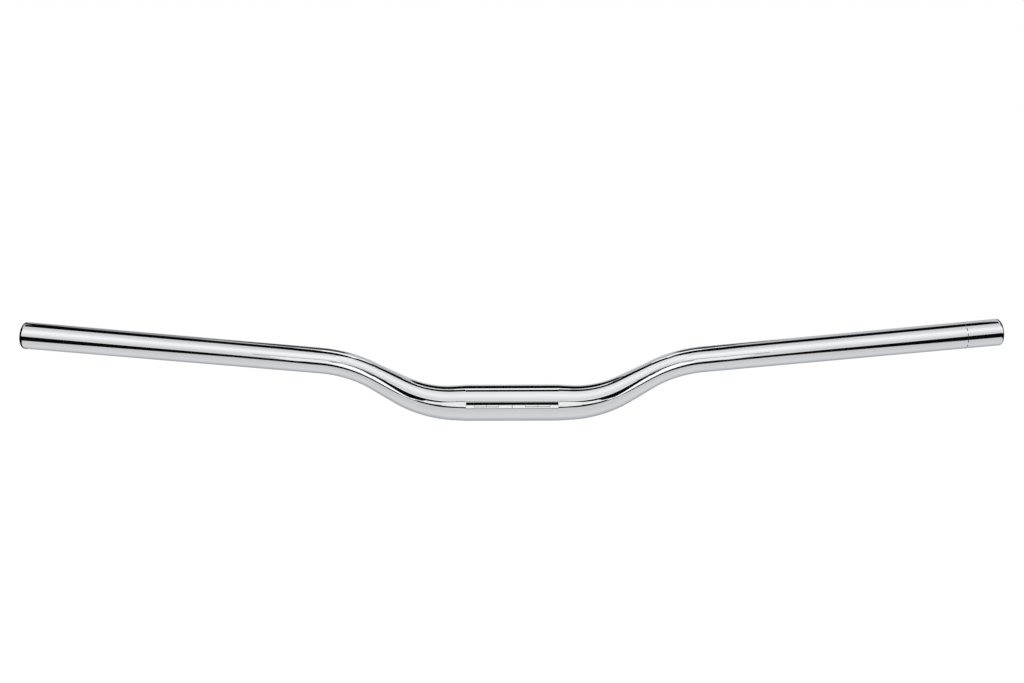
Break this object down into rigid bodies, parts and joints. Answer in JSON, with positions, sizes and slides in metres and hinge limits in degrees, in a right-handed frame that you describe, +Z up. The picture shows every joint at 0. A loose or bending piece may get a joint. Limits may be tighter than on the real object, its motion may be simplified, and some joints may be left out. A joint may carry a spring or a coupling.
{
  "type": "bicycle handlebar",
  "caption": "Riser handlebar: a chrome-plated tube with a thick clamp zone in the middle, tapered bends and thinner swept-back grips, held in a stem to steer a bicycle.",
  "frame": {"origin": "middle of the clamp zone, on its axis", "axes": "+X along the clamp zone to the rider's right, +Y forward away from the rider, +Z up as the bar is mounted"},
  "size_m": [0.8034, 0.0762, 0.0871],
  "materials": {
    "chrome": "polished"
  },
  "bodies": {
    "root": {"handlebar": "chrome"}
  },
  "joints": []
}
